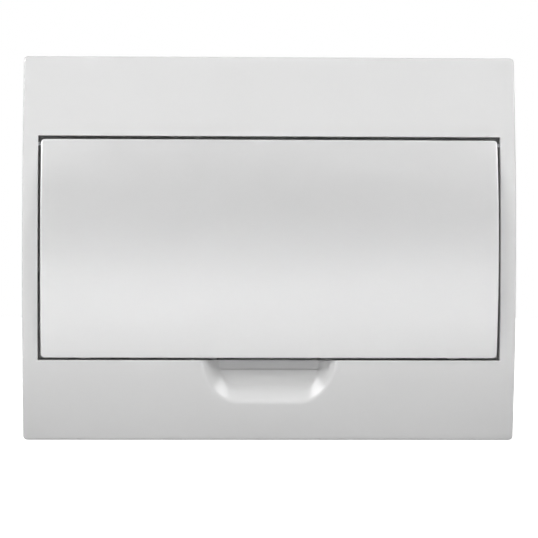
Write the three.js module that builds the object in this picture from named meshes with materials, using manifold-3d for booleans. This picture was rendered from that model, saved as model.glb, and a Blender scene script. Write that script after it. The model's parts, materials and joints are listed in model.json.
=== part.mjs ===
// A flush-mounted breaker panel box with twelve ways: a steel back box, a rail of breakers, a moulded
// front frame with a shallow arched face, and an arched door that lifts on two pins at its top edge.
// Millimetres. +X is to the right, +Z is up, and the front faces -Y. The origin is the centre of the
// back box's rear face, which rests against the back of the wall recess.
import * as THREE from "three";
import { mergeVertices } from "three/addons/utils/BufferGeometryUtils.js";
import Module from "manifold-3d";

const wasm = await Module();
wasm.setup();

// ---- Driving dimensions ----

const GAP = 0.3; // left between pieces that touch
const BOX = { w: 300, h: 230, d: 88, sheet: 1.2 };
const WALL_HOLE = { x: 110, z: 62, r: 3.25 };
const FRAME = { w: 320, h: 250, edge: 7, sag: 16, wall: 2.5, cornerR: 2.5 };
const OPENING = { w: 300, h: 145.4, wall: 2.2 };
const DOOR = { w: 296, topGap: 2.2, bottomGap: 1.6, sag: 11.1, wall: 2.2, rim: 2, cornerR: 2.5, back: 15 };
const HINGE = { below: 3.2, behind: 2.8, pinR: 1.25, pinStart: 143, pinEnd: 152 };
const HINGE_BOSS = { r: 2.8, start: 142 };
const FACE = { height: 6.5, thick: 2.5, slotW: 218, slotH: 46.4 }; // the fixed plate behind the door
const SCOOP = {
  // the finger scoop below the door, from its floor up to a level just proud of the face
  floor: { height: 7.5, halfW: 33, low: -89, flat: 21 },
  top: { height: 20, halfW: 46.5, low: -116.2, flat: 17 },
  skin: 2,
  upper: -72.7,
  steps: 8, // along each round lower corner
};
// Finger room behind the door's lower edge, sunk into the back box.
const NOTCH = { halfW: 33, low: -78.3, high: -60, floor: -14, top: 12, skin: 1.5 };
const STOP = { x: 120, halfW: 4, low: 1, high: 4 }; // low and high from the opening's lower edge
const RIB = { x: 50, thick: 1.6, halfLength: 58, depth: 4 };
const RAIL = { halfLength: 128, lip: 17.5, web: 13.5, sheet: 1, depth: 7.5, backY: -29.5, screwX: 122 };
const BRACKET = { inner: 116, outer: 130, foot: 142, sheet: 2, halfH: 16 };
const RAIL_FIXING = { holeR: 2.8, headR: 4.5, headH: 3, shankR: 2.5, length: 9, nutR: 4.6, nutH: 4 };
const WAY = 18; // one module of width
const WAYS = 12;
const DEVICE = { side: 0.2, back: -4.5, half: 42, shoulder: 44, nose: 60, noseHalf: 22.5 };
const CASE_EDGE = { chamfer: 1, slopeRise: 2, slopeOut: 2.5 }; // the nose's edges and its sloped foot
const RAIL_GRIP = { hookTip: 14.6, slack: 0.4, underLip: -18.2 }; // where the case holds the rail
const TOGGLE = { pivotDepth: 5.5, drumR: 6, reach: 17, onAngle: 35 };
const TOGGLE_WINDOW = { slack: 0.4, depth: 12.2, halfH: 8.5 };
const LEVER = { root: 3, rootHalf: 2.9, taper: 1.5, endHalf: 1.9, tipHalf: 1 };
const CLIP = { halfW: 4.2, back: -4.2, front: -1.3, tip: -14.6, tail: -46 };
const CLIP_CHANNEL = { slack: 0.4, front: 0.9, top: -18 };
const CLIP_SLOT = { halfW: 2, depth: 1.6, low: 1.2, high: 2.8 }; // for a screwdriver, from the clip's tail
const TEST_BUTTON = { x: 12, z: -15.5, r: 3, standsOut: 1.6, depth: 5 }; // pressed in along +Y
const BAR = { z: 88, halfLength: 68, back: -26.3, depth: 8, halfH: 4.5, screwX: 60 };
const WIRES = { holes: 8, pitch: 12, r: 2.2 };
const BAR_BASE = { halfLength: 70, thick: 3, halfH: 8, postHalfW: 7.5, postHalfH: 7 };
const BAR_FIXING = { holeR: 2.3, depth: 14, headR: 3.8, headH: 2.2, shankR: 2, length: 18 };
const EARTH = { x: 122, z: -85, studR: 3, length: 20, washerR: 6.5, washerH: 1.4, nutR: 5.8, nutH: 5 };
const WIRE_ENTRY = { halfW: 4.5, near: 22, far: 31, depth: 3.5 }; // distances in front of the rail's lips
const SCREW_WELL = { r: 3.2, depth: 3.5, z: 34 };
const BLANK = { proud: 2, skin: 1.6, hookReach: 24.2, hookDepth: 2.5, inner: 21, slack: 0.4, count: 2 };
const COMB = { near: 25.7, far: 27.2, top: -47, foot: -53, toothHalfW: 2, toothTip: -39.2 };
const COMB_COVER = { near: 24, far: 29, foot: -55, top: -47.5, past: 6, slack: 0.3 };
const LABEL = { halfLength: 108, thick: 0.8, low: -36, high: -27 };
const BREAKERS = 6;
const FIRST_BREAKER_WAY = 4;
const KNOCKOUT = { r: 13.5, groove: 0.8, depth: 0.7, y: -44, pitch: 90, sideZ: -55 };
const COVER_SCREW = { x: 135, shankR: 2, headR: 4, headH: 2.4, length: 25 };
const COVER_BOSS = { r: 4.5, foot: 0.5, holeR: 2.4 };
const PAN_HEAD = { topShare: 0.72, edgeShare: 0.45, slotReach: 0.55, slotHalf: 0.13 }; // of its size
const LUG = { y: -80, inner: 126, halfH: 10 };
const ARCH_STEPS = 24; // flats along an arched face
const BEYOND = 45; // a height past every face, for tools that cut right through

// ---- Places worked out from them ----

const WALL_Y = -(BOX.d + GAP); // the wall's surface, where the front frame's rim rests
const RAIL_LIP_Y = RAIL.backY - RAIL.depth;
const FRAME_R = ((FRAME.h / 2) ** 2 + FRAME.sag ** 2) / (2 * FRAME.sag);
const DOOR_TOP = OPENING.h / 2 - DOOR.topGap;
const DOOR_BOTTOM = -OPENING.h / 2 + DOOR.bottomGap;
const DOOR_MID = (DOOR_TOP + DOOR_BOTTOM) / 2;
const DOOR_HALF = (DOOR_TOP - DOOR_BOTTOM) / 2;
const DOOR_R = (DOOR_HALF ** 2 + DOOR.sag ** 2) / (2 * DOOR.sag);
const DOOR_EDGE = frameHeight(DOOR_TOP);
const HINGE_Z = DOOR_TOP - HINGE.below;
const HINGE_Y = yAt(DOOR_EDGE - HINGE.behind);

// y of a point this high above the wall's surface.
function yAt(height) {
  return WALL_Y - height;
}

// Height of the front frame's arched face above the wall.
function frameHeight(z) {
  return FRAME.edge + FRAME.sag - FRAME_R + Math.sqrt(FRAME_R ** 2 - z ** 2);
}

// Height of the door's arched face above the wall, taken in by inset.
function doorHeight(z, inset = 0) {
  return DOOR_EDGE + DOOR.sag - DOOR_R + Math.sqrt((DOOR_R - inset) ** 2 - (z - DOOR_MID) ** 2);
}

// y of a point this far in front of the rail's lips.
function deviceY(distance) {
  return RAIL_LIP_Y - distance;
}

// ---- Solids ----

function solid(geometry) {
  const bare = geometry.index ? geometry.toNonIndexed() : geometry.clone();
  bare.deleteAttribute("normal");
  bare.deleteAttribute("uv");
  const merged = mergeVertices(bare, 1e-4);
  const vertProperties = merged.attributes.position.array;
  const triVerts = new Uint32Array(merged.index.array);
  return new wasm.Manifold(new wasm.Mesh({ numProp: 3, vertProperties, triVerts }));
}

function geometryOf(body) {
  const mesh = body.getMesh();
  const positions = new Float32Array(mesh.numVert * 3);
  for (let i = 0; i < mesh.numVert; i += 1) {
    const start = i * mesh.numProp;
    positions.set(mesh.vertProperties.subarray(start, start + 3), i * 3);
  }
  const geometry = new THREE.BufferGeometry();
  geometry.setAttribute("position", new THREE.BufferAttribute(positions, 3));
  geometry.setIndex(new THREE.BufferAttribute(mesh.triVerts, 1));
  geometry.computeVertexNormals();
  return geometry;
}

function union(...bodies) {
  return bodies.reduce((a, b) => a.add(b));
}

function cut(body, ...tools) {
  return tools.reduce((a, b) => a.subtract(b), body);
}

// A block between two corners, whichever way round each pair is given.
function block(x0, x1, y0, y1, z0, z1) {
  const size = [Math.abs(x1 - x0), Math.abs(y1 - y0), Math.abs(z1 - z0)];
  const geometry = new THREE.BoxGeometry(...size);
  geometry.translate((x0 + x1) / 2, (y0 + y1) / 2, (z0 + z1) / 2);
  return solid(geometry);
}

// A cylinder along X, Y or Z between two places on that axis, centred at the other two coordinates.
function rod(axis, r, from, to, u, v, sides = 16) {
  const geometry = new THREE.CylinderGeometry(r, r, Math.abs(to - from), sides);
  const mid = (from + to) / 2;
  if (axis === "x") {
    geometry.rotateZ(Math.PI / 2);
    geometry.translate(mid, u, v);
  } else if (axis === "y") {
    geometry.translate(u, mid, v);
  } else {
    geometry.rotateX(Math.PI / 2);
    geometry.translate(u, v, mid);
  }
  return solid(geometry);
}

function extrude(shape, depth, curveSegments = 6) {
  return new THREE.ExtrudeGeometry(shape, { depth, bevelEnabled: false, curveSegments });
}

function shapeOf(points) {
  return new THREE.Shape(points.map(([u, v]) => new THREE.Vector2(u, v)));
}

// An outline of [y, z] points run along X.
function alongX(points, x0, x1) {
  const geometry = extrude(shapeOf(points), x1 - x0);
  const turn = new THREE.Matrix4().set(0, 0, 1, x0, 1, 0, 0, 0, 0, 1, 0, 0, 0, 0, 0, 1);
  return solid(geometry.applyMatrix4(turn));
}

// An outline of [x, y] points run along Z.
function alongZ(points, z0, z1) {
  const geometry = extrude(shapeOf(points), z1 - z0);
  geometry.translate(0, 0, z0);
  return solid(geometry);
}

// A rectangle with round corners in the XZ plane, run from y1 forward to y0.
function roundedPlate(w, h, r, zMid, y0, y1) {
  const shape = new THREE.Shape();
  const x = w / 2 - r;
  const z = h / 2 - r;
  shape.absarc(x, -z, r, -Math.PI / 2, 0);
  shape.absarc(x, z, r, 0, Math.PI / 2);
  shape.absarc(-x, z, r, Math.PI / 2, Math.PI);
  shape.absarc(-x, -z, r, Math.PI, 1.5 * Math.PI);
  const geometry = extrude(shape, y1 - y0);
  geometry.rotateX(Math.PI / 2);
  geometry.translate(0, y1, zMid);
  return solid(geometry);
}

// A closed skin through rings of points, each counter-clockwise seen from the last ring's side.
function loft(rings) {
  const count = rings[0].length;
  const index = [];
  for (let k = 0; k + 1 < rings.length; k += 1) {
    for (let i = 0; i < count; i += 1) {
      const a = k * count + i;
      const b = k * count + ((i + 1) % count);
      index.push(a, b, b + count, a, b + count, a + count);
    }
  }
  const last = (rings.length - 1) * count;
  for (let i = 1; i + 1 < count; i += 1) {
    index.push(0, i + 1, i);
    index.push(last, last + i, last + i + 1);
  }
  const geometry = new THREE.BufferGeometry();
  geometry.setAttribute("position", new THREE.Float32BufferAttribute(rings.flat(2), 3));
  geometry.setIndex(index);
  return solid(geometry);
}

// Points of an arched profile from low to high, closed along a straight back at the given height.
function archProfile(low, high, steps, heightOf, backHeight) {
  const points = [];
  for (let i = 0; i <= steps; i += 1) {
    const z = low + ((high - low) * i) / steps;
    points.push([yAt(heightOf(z)), z]);
  }
  points.push([yAt(backHeight), high], [yAt(backHeight), low]);
  return points;
}

// ---- Finishes ----

function finish(color, roughness, metalness) {
  return new THREE.MeshStandardMaterial({ color, roughness, metalness });
}

const FINISHES = {
  whiteAbs: finish(0xeeeeee, 0.25, 0),
  doorAbs: finish(0xd9dadb, 0.35, 0),
  paintedSteel: finish(0xd6d8d8, 0.5, 0.1),
  zincSteel: finish(0xb9bcc0, 0.35, 1),
  brass: finish(0xc9a24b, 0.35, 1),
  copper: finish(0xb8714a, 0.35, 1),
  deviceCase: finish(0xe2e3e1, 0.5, 0),
  blackToggle: finish(0x1d1f22, 0.4, 0),
  blueToggle: finish(0x1f5fa8, 0.4, 0),
  redToggle: finish(0xb3261e, 0.4, 0),
  yellowButton: finish(0xe0b020, 0.4, 0),
  clipGrey: finish(0x55585c, 0.5, 0),
  blueInsulator: finish(0x2f6fb5, 0.5, 0),
  greenInsulator: finish(0x3f8f4a, 0.5, 0),
  greyInsulator: finish(0x8e9194, 0.5, 0),
  paper: finish(0xf4f4f0, 0.8, 0),
};

const panel = new THREE.Group();

function place(name, body, material, parent = panel) {
  const mesh = new THREE.Mesh(geometryOf(body), FINISHES[material].clone());
  mesh.name = name;
  parent.add(mesh);
  return mesh;
}

// ---- Back box: one folded sheet, with knockouts scored in its walls and lugs for the cover screws ----

// A ring scored into a wall's outer side, so that the disc inside it can be knocked out.
function knockoutRing(axis, outside, inside, u, v) {
  const outer = rod(axis, KNOCKOUT.r + KNOCKOUT.groove / 2, outside, inside, u, v, 20);
  const inner = rod(axis, KNOCKOUT.r - KNOCKOUT.groove / 2, outside, inside, u, v, 20);
  return outer.subtract(inner);
}

function makeBackBox() {
  const x = BOX.w / 2;
  const z = BOX.h / 2;
  const s = BOX.sheet;
  const tray = cut(
    block(-x, x, 0, -BOX.d, -z, z),
    block(s - x, x - s, -s, -BOX.d - 1, s - z, z - s),
  );
  const tools = [];
  for (const side of [-1, 1]) {
    const outsideZ = side * (z + 1);
    const insideZ = side * (z - KNOCKOUT.depth);
    for (const column of [-1, 0, 1]) {
      tools.push(knockoutRing("z", outsideZ, insideZ, column * KNOCKOUT.pitch, KNOCKOUT.y));
    }
    const outsideX = side * (x + 1);
    const insideX = side * (x - KNOCKOUT.depth);
    tools.push(knockoutRing("x", outsideX, insideX, KNOCKOUT.y, KNOCKOUT.sideZ));
    for (const column of [-1, 1]) {
      tools.push(rod("y", WALL_HOLE.r, 1, -s - 1, column * WALL_HOLE.x, side * WALL_HOLE.z, 12));
    }
  }
  const lugs = [-1, 1].map((side) =>
    cut(
      block(side * LUG.inner, side * (x - s / 2), LUG.y, LUG.y + s, -LUG.halfH, LUG.halfH),
      rod("y", COVER_SCREW.shankR + GAP, LUG.y - 1, LUG.y + s + 1, side * COVER_SCREW.x, 0, 12),
    ),
  );
  place("back_box", union(cut(tray, ...tools), ...lugs), "paintedSteel");
}

// ---- Rail, its brackets and their screws ----

function makeRail() {
  const { lip, web, sheet, backY, screwX } = RAIL;
  const hat = [
    [RAIL_LIP_Y, web - sheet],
    [backY - sheet, web - sheet],
    [backY - sheet, sheet - web],
    [RAIL_LIP_Y, sheet - web],
    [RAIL_LIP_Y, -lip],
    [RAIL_LIP_Y + sheet, -lip],
    [RAIL_LIP_Y + sheet, -web],
    [backY, -web],
    [backY, web],
    [RAIL_LIP_Y + sheet, web],
    [RAIL_LIP_Y + sheet, lip],
    [RAIL_LIP_Y, lip],
  ];
  const hole = (x) => rod("y", RAIL_FIXING.holeR, backY + 1, backY - sheet - 1, x, 0, 12);
  const body = cut(alongX(hat, -RAIL.halfLength, RAIL.halfLength), hole(-screwX), hole(screwX));
  place("din_rail", body, "zincSteel");

  for (const [side, word] of [
    [-1, "left"],
    [1, "right"],
  ]) {
    const top = backY + GAP; // the bracket's flange lies just behind the rail
    const foot = -BOX.sheet - GAP;
    const b = BRACKET;
    const outline = [
      [side * b.inner, top],
      [side * b.outer, top],
      [side * b.outer, foot - b.sheet],
      [side * b.foot, foot - b.sheet],
      [side * b.foot, foot],
      [side * (b.outer - b.sheet), foot],
      [side * (b.outer - b.sheet), top + b.sheet],
      [side * b.inner, top + b.sheet],
    ];
    const bracket = cut(
      alongZ(outline, -b.halfH, b.halfH),
      rod("y", RAIL_FIXING.holeR, top - 1, top + b.sheet + 1, side * screwX, 0, 12),
    );
    place("rail_bracket_" + word, bracket, "zincSteel");
    const headSeat = backY - sheet - GAP;
    const { headR, headH, shankR, length, nutR, nutH, holeR } = RAIL_FIXING;
    const screw = panHeadScrew(headR, headH, shankR, length);
    place("rail_screw_" + word, screw, "zincSteel").position.set(side * screwX, headSeat, 0);
    const nut = place("rail_nut_" + word, hexNut(nutR, nutH, holeR), "zincSteel");
    nut.position.set(side * screwX, top + b.sheet + GAP, 0);
  }
}

// A pan-head screw that points along +Y, with its head's seat at y = 0 and a cross in its head.
function panHeadScrew(headR, headH, shankR, length) {
  const profile = [
    [0, -headH],
    [headR * PAN_HEAD.topShare, -headH],
    [headR, -headH * PAN_HEAD.edgeShare],
    [headR, 0],
    [shankR, 0],
    [shankR, length - shankR / 2],
    [shankR / 2, length],
    [0, length],
  ].map(([r, y]) => new THREE.Vector2(r, y));
  const arm = headR * PAN_HEAD.slotReach;
  const slot = headR * PAN_HEAD.slotHalf;
  const depth = -headH * PAN_HEAD.edgeShare;
  return cut(
    solid(new THREE.LatheGeometry(profile, 14)),
    block(-arm, arm, -headH - 1, depth, -slot, slot),
    block(-slot, slot, -headH - 1, depth, -arm, arm),
  );
}

// A nut whose near face is at y = 0 and which runs along +Y.
function hexNut(cornerR, height, holeR) {
  return cut(rod("y", cornerR, 0, height, 0, 0, 6), rod("y", holeR, -1, height + 1, 0, 0, 12));
}

// ---- Neutral and earth bars on their insulating bases, and the earth stud ----

function makeTerminalBar(word, side, insulator) {
  const z = side * BAR.z;
  const foot = -BOX.sheet - GAP;
  const postTop = BAR.back + GAP;
  const front = BAR.back - BAR.depth;
  const { halfLength, thick, halfH, postHalfW, postHalfH } = BAR_BASE;
  const post = (end) => {
    const x = end * BAR.screwX;
    return block(x - postHalfW, x + postHalfW, foot - 1, postTop, z - postHalfH, z + postHalfH);
  };
  const plate = block(-halfLength, halfLength, foot, foot - thick, z - halfH, z + halfH);
  const base = union(plate, post(-1), post(1));
  const { holeR, depth } = BAR_FIXING;
  const fixing = (end) => rod("y", holeR, postTop + depth, front - 1, end * BAR.screwX, z, 12);
  const fixings = [fixing(-1), fixing(1)];
  place(word + "_bar_base", cut(base, ...fixings), insulator);

  const wires = [];
  const past = BAR.halfH + 1;
  for (let i = 0; i < WIRES.holes; i += 1) {
    const x = (i - (WIRES.holes - 1) / 2) * WIRES.pitch;
    wires.push(rod("z", WIRES.r, z - past, z + past, x, BAR.back - BAR.depth / 2, 8));
  }
  const bar = block(-BAR.halfLength, BAR.halfLength, BAR.back, front, z - BAR.halfH, z + BAR.halfH);
  place(word + "_bar", cut(bar, ...fixings, ...wires), "brass");

  for (const [end, name] of [
    [-1, "_bar_screw_left"],
    [1, "_bar_screw_right"],
  ]) {
    const { headR, headH, shankR, length } = BAR_FIXING;
    const screw = panHeadScrew(headR, headH, shankR, length);
    place(word + name, screw, "zincSteel").position.set(end * BAR.screwX, front - GAP, z);
  }
}

function makeEarthStud() {
  const { x, z, studR, length, washerR, washerH, nutR, nutH } = EARTH;
  const foot = -BOX.sheet - GAP;
  const holeR = studR + GAP;
  const washerFoot = foot - 1;
  const washerTop = washerFoot - washerH;
  place("earth_stud", rod("y", studR, foot, foot - length, x, z, 16), "zincSteel");
  const washer = cut(
    rod("y", washerR, washerFoot, washerTop, x, z, 20),
    rod("y", holeR, washerFoot + 1, washerTop - 1, x, z, 16),
  );
  place("earth_washer", washer, "zincSteel");
  const nut = place("earth_nut", hexNut(nutR, nutH, holeR), "zincSteel");
  nut.position.set(x, washerTop - GAP - nutH, z);
}

// ---- Front frame: an arched shell with a pocket for the door, a fixed plate and a finger scoop ----

// One level of the finger scoop: straight across the top and foot, with round lower corners.
function scoopRing(height, grow, upper) {
  const { floor, top, steps } = SCOOP;
  const t = (height - floor.height) / (top.height - floor.height);
  const between = (key) => floor[key] + (top[key] - floor[key]) * t;
  const halfW = between("halfW") + grow;
  const low = between("low") - grow;
  const flat = between("flat");
  const ring = [[-halfW, upper]];
  for (let i = 0; i <= steps; i += 1) {
    const a = (Math.PI / 2) * (i / steps);
    const x = flat + (halfW - flat) * Math.cos(a);
    ring.push([-x, SCOOP.upper + (low - SCOOP.upper) * Math.sin(a)]);
  }
  for (let i = steps; i >= 0; i -= 1) {
    const a = (Math.PI / 2) * (i / steps);
    const x = flat + (halfW - flat) * Math.cos(a);
    ring.push([x, SCOOP.upper + (low - SCOOP.upper) * Math.sin(a)]);
  }
  ring.push([halfW, upper]);
  return ring.map(([x, z]) => [x, yAt(height), z]);
}

function makeFrontFrame() {
  const x = FRAME.w / 2;
  const z = FRAME.h / 2;
  const t = FRAME.wall;
  const outer = alongX(archProfile(-z, z, ARCH_STEPS, frameHeight, 0), -x, x).intersect(
    roundedPlate(FRAME.w, FRAME.h, FRAME.cornerR, 0, yAt(BEYOND), WALL_Y + 1),
  );
  const innerHeight = (at) => frameHeight(at) - t;
  const hollow = alongX(archProfile(t - z, z - t, ARCH_STEPS, innerHeight, -1), t - x, x - t);

  const ox = OPENING.w / 2;
  const oz = OPENING.h / 2;
  const ow = OPENING.wall;
  const faceBack = FACE.height - FACE.thick;
  const pocketBlock = block(-ox - ow, ox + ow, yAt(faceBack), yAt(BEYOND), -oz - ow, oz + ow);
  const pocket = block(-ox, ox, yAt(FACE.height), yAt(BEYOND + 1), -oz, oz);
  const slot = block(
    -FACE.slotW / 2, FACE.slotW / 2, yAt(faceBack - 1), yAt(FACE.height + 1),
    -FACE.slotH / 2, FACE.slotH / 2,
  );

  const skinUpper = SCOOP.upper - 1;
  const skinLow = SCOOP.floor.height - SCOOP.skin;
  const dishSkin = loft([
    scoopRing(skinLow, SCOOP.skin, skinUpper),
    scoopRing(SCOOP.top.height, SCOOP.skin, skinUpper),
  ]);
  const dish = loft([
    scoopRing(SCOOP.floor.height, 0, NOTCH.high),
    scoopRing(SCOOP.top.height, 0, NOTCH.high),
  ]);
  const n = NOTCH;
  const notchBlock = block(
    -n.halfW - n.skin, n.halfW + n.skin, yAt(n.floor - n.skin), yAt(faceBack + 1),
    n.low - n.skin, n.high + n.skin,
  );
  const notch = block(-n.halfW, n.halfW, yAt(n.floor), yAt(n.top), n.low, n.high);

  const { r: bossR, foot: bossFoot, holeR } = COVER_BOSS;
  const screwBoss = (side) => rod("y", bossR, yAt(bossFoot), yAt(faceBack + 1), side * COVER_SCREW.x, 0, 16);
  const screwHole = (side) => rod("y", holeR, yAt(-1), yAt(FACE.height + 1), side * COVER_SCREW.x, 0, 12);
  const pinHole = (side) =>
    rod("x", HINGE.pinR + GAP, side * (ox - 1), side * (ox + ow + 1), HINGE_Y, HINGE_Z, 12);

  // The door's lower rim rests on two stops.
  const stop = (side) => {
    const x0 = side * (STOP.x - STOP.halfW);
    const x1 = side * (STOP.x + STOP.halfW);
    return block(x0, x1, yAt(FACE.height - 1), yAt(DOOR.back - GAP), STOP.low - oz, STOP.high - oz);
  };

  const body = union(
    outer.subtract(hollow),
    pocketBlock.intersect(outer),
    dishSkin.intersect(outer),
    notchBlock,
    screwBoss(-1),
    screwBoss(1),
  );
  const tools = [pocket, slot, dish, notch, screwHole(-1), screwHole(1), pinHole(-1), pinHole(1)];
  const frame = union(cut(body, ...tools), stop(-1), stop(1));
  place("front_frame", frame, "whiteAbs");

  for (const [side, word] of [
    [-1, "left"],
    [1, "right"],
  ]) {
    const { headR, headH, shankR, length } = COVER_SCREW;
    const screw = panHeadScrew(headR, headH, shankR, length);
    const seat = yAt(FACE.height + GAP);
    place("cover_screw_" + word, screw, "zincSteel").position.set(side * COVER_SCREW.x, seat, 0);
  }
}

// ---- Door: an arched skin with a rim all round, hinge bosses and two ribs ----

function makeDoor() {
  const x = DOOR.w / 2;
  const { rim, wall, back } = DOOR;
  const profile = archProfile(DOOR_BOTTOM, DOOR_TOP, ARCH_STEPS, doorHeight, back);
  const outer = alongX(profile, -x, x).intersect(
    roundedPlate(DOOR.w, DOOR_HALF * 2, DOOR.cornerR, DOOR_MID, yAt(BEYOND), yAt(0)),
  );
  const insideHeight = (z) => doorHeight(z, wall);
  const hollow = alongX(
    archProfile(DOOR_BOTTOM + rim, DOOR_TOP - rim, ARCH_STEPS, insideHeight, back - 1),
    rim - x,
    x - rim,
  );
  const boss = (side) =>
    rod("x", HINGE_BOSS.r, side * HINGE_BOSS.start, side * (x - 1), HINGE_Y, HINGE_Z, 16);
  const bore = (side) =>
    rod("x", HINGE.pinR + GAP, side * (HINGE.pinStart - GAP), side * (x + 1), HINGE_Y, HINGE_Z, 12);
  const ribBlock = (side) => {
    const x0 = side * RIB.x - RIB.thick / 2;
    return block(x0, x0 + RIB.thick, yAt(0), yAt(BEYOND), -RIB.halfLength, RIB.halfLength);
  };
  const ribs = [-1, 1].map((side) => ribBlock(side).intersect(outer).intersect(ribBand()));
  const body = union(outer.subtract(hollow), boss(-1), boss(1), ...ribs);
  place("door", cut(body, bore(-1), bore(1)), "doorAbs");

  for (const [side, word] of [
    [-1, "left"],
    [1, "right"],
  ]) {
    const pin = rod("x", HINGE.pinR, side * HINGE.pinStart, side * HINGE.pinEnd, HINGE_Y, HINGE_Z, 14);
    place("hinge_pin_" + word, pin, "zincSteel");
  }
}

// The band under the door's skin that its stiffening ribs fill.
function ribBand() {
  const behind = DOOR.back - 5; // well behind the door's rim
  const reach = RIB.halfLength + 2;
  const top = (z) => doorHeight(z, DOOR.wall / 2);
  const under = (z) => doorHeight(z, DOOR.wall + RIB.depth);
  const steps = ARCH_STEPS / 2;
  const outside = archProfile(-reach, reach, steps, top, behind);
  const inside = archProfile(-reach - 1, reach + 1, steps, under, behind - 1);
  return alongX(outside, -reach, reach).subtract(alongX(inside, -reach - 1, reach + 1));
}

// ---- Rail-mounted devices ----

// Middle of a device that starts at this way, counted from the left, and is this many ways wide.
function wayX(first, ways) {
  return (first + ways / 2 - WAYS / 2) * WAY;
}

// The case: hooked over the rail's upper lip, with sloped shoulders and a nose that stands through the
// fixed plate. Each pole has a wire entry and a screw well at both ends.
function deviceCase(ways, toggleHalfW, extraTools = []) {
  const { back, half, shoulder, nose, noseHalf } = DEVICE;
  const halfW = (ways * WAY) / 2 - DEVICE.side;
  const { chamfer, slopeRise, slopeOut } = CASE_EDGE;
  const { hookTip, slack, underLip } = RAIL_GRIP;
  const outline = [
    [back, -half],
    [shoulder, -half],
    [shoulder, -noseHalf - slopeOut],
    [shoulder + slopeRise, -noseHalf],
    [nose - chamfer, -noseHalf],
    [nose, -noseHalf + chamfer],
    [nose, noseHalf - chamfer],
    [nose - chamfer, noseHalf],
    [shoulder + slopeRise, noseHalf],
    [shoulder, noseHalf + slopeOut],
    [shoulder, half],
    [back, half],
    [back, hookTip],
    [CLIP.front, hookTip],
    [CLIP.front, RAIL.lip + slack],
    [GAP, RAIL.lip + slack],
    [GAP, underLip],
    [back, underLip],
  ].map(([distance, z]) => [-distance, z]);
  const windowHalfW = toggleHalfW + TOGGLE_WINDOW.slack;
  const windowHalfH = TOGGLE_WINDOW.halfH;
  const channelHalfW = CLIP.halfW + CLIP_CHANNEL.slack;
  const tools = [
    block(-windowHalfW, windowHalfW, -nose - 1, -nose + TOGGLE_WINDOW.depth, -windowHalfH, windowHalfH),
    block(-channelHalfW, channelHalfW, CLIP_CHANNEL.front, 1 - back, -half - 1, CLIP_CHANNEL.top),
    ...extraTools,
  ];
  for (let pole = 0; pole < ways; pole += 1) {
    const x = (pole - (ways - 1) / 2) * WAY;
    for (const end of [-1, 1]) {
      const { halfW: entryHalfW, near, far, depth } = WIRE_ENTRY;
      const mouth = end * (half + 1);
      tools.push(block(x - entryHalfW, x + entryHalfW, -far, -near, end * (half - depth), mouth));
      const well = SCREW_WELL;
      tools.push(rod("y", well.r, -shoulder - 1, -shoulder + well.depth, x, end * well.z, 10));
    }
  }
  return cut(alongX(outline, -halfW, halfW), ...tools);
}

// The toggle about its own pivot: a drum and a tapered lever that points straight out at -Y.
function toggleBody(halfW) {
  const { root, rootHalf, taper, endHalf, tipHalf } = LEVER;
  const lever = [
    [-root, -rootHalf],
    [-TOGGLE.reach + taper, -endHalf],
    [-TOGGLE.reach, -tipHalf],
    [-TOGGLE.reach, tipHalf],
    [-TOGGLE.reach + taper, endHalf],
    [-root, rootHalf],
  ];
  return union(rod("x", TOGGLE.drumR, -halfW, halfW, 0, 0, 20), alongX(lever, -halfW, halfW));
}

function clipBody() {
  const { halfW, back, front, tip, tail } = CLIP;
  const { halfW: slotHalfW, depth, low, high } = CLIP_SLOT;
  return cut(
    block(-halfW, halfW, -back, -front, tail, tip),
    block(-slotHalfW, slotHalfW, 1 - back, -back - depth, tail + low, tail + high),
  );
}

function makeDevice(name, first, ways, look) {
  const device = new THREE.Group();
  device.position.set(wayX(first, ways), RAIL_LIP_Y, 0);
  panel.add(device);
  place(name + "_case", deviceCase(ways, look.toggleHalfW, look.tools), "deviceCase", device);
  const toggle = place(name + "_toggle", toggleBody(look.toggleHalfW), look.toggle, device);
  toggle.position.y = -DEVICE.nose + TOGGLE.pivotDepth;
  toggle.rotation.x = -THREE.MathUtils.degToRad(TOGGLE.onAngle);
  place(name + "_rail_clip", clipBody(), "clipGrey", device);
  return device;
}

function makeDevices() {
  makeDevice("main_switch", 0, 2, { toggleHalfW: 12, toggle: "redToggle" });

  const { x, z, r, standsOut, depth } = TEST_BUTTON;
  const well = rod("y", r + GAP, -DEVICE.nose - 1, -DEVICE.nose + depth + 1, x, z, 14);
  const look = { toggleHalfW: 6, toggle: "blueToggle", tools: [well] };
  const leakage = makeDevice("leakage_breaker", 2, 2, look);
  const button = rod("y", r, -DEVICE.nose - standsOut, -DEVICE.nose + depth - 2, x, z, 14);
  place("leakage_breaker_test_button", button, "yellowButton", leakage);

  for (let i = 0; i < BREAKERS; i += 1) {
    makeDevice("breaker_" + (i + 1), FIRST_BREAKER_WAY + i, 1, { toggleHalfW: 4.2, toggle: "blackToggle" });
  }
}

// Blanks snap through the fixed plate's slot and hook behind it.
function makeBlanks() {
  const face = FACE.height + BLANK.proud;
  const behind = FACE.height - FACE.thick;
  const half = (side) => [
    [yAt(face - BLANK.skin), side * BLANK.inner],
    [yAt(behind - BLANK.hookDepth), side * BLANK.inner],
    [yAt(behind - BLANK.hookDepth), side * BLANK.hookReach],
    [yAt(behind - BLANK.slack), side * BLANK.hookReach],
    [yAt(behind - BLANK.slack), side * DEVICE.noseHalf],
    [yAt(face), side * DEVICE.noseHalf],
  ];
  const outline = [...half(-1), ...half(1).reverse()];
  for (let i = 0; i < BLANK.count; i += 1) {
    const x = wayX(FIRST_BREAKER_WAY + BREAKERS + i, 1);
    const halfW = WAY / 2 - DEVICE.side;
    place("blanking_plate_" + (i + 1), alongX(outline, x - halfW, x + halfW), "whiteAbs");
  }
}

// ---- Comb busbar under the breakers, its cover, and the strip for circuit labels ----

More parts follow.
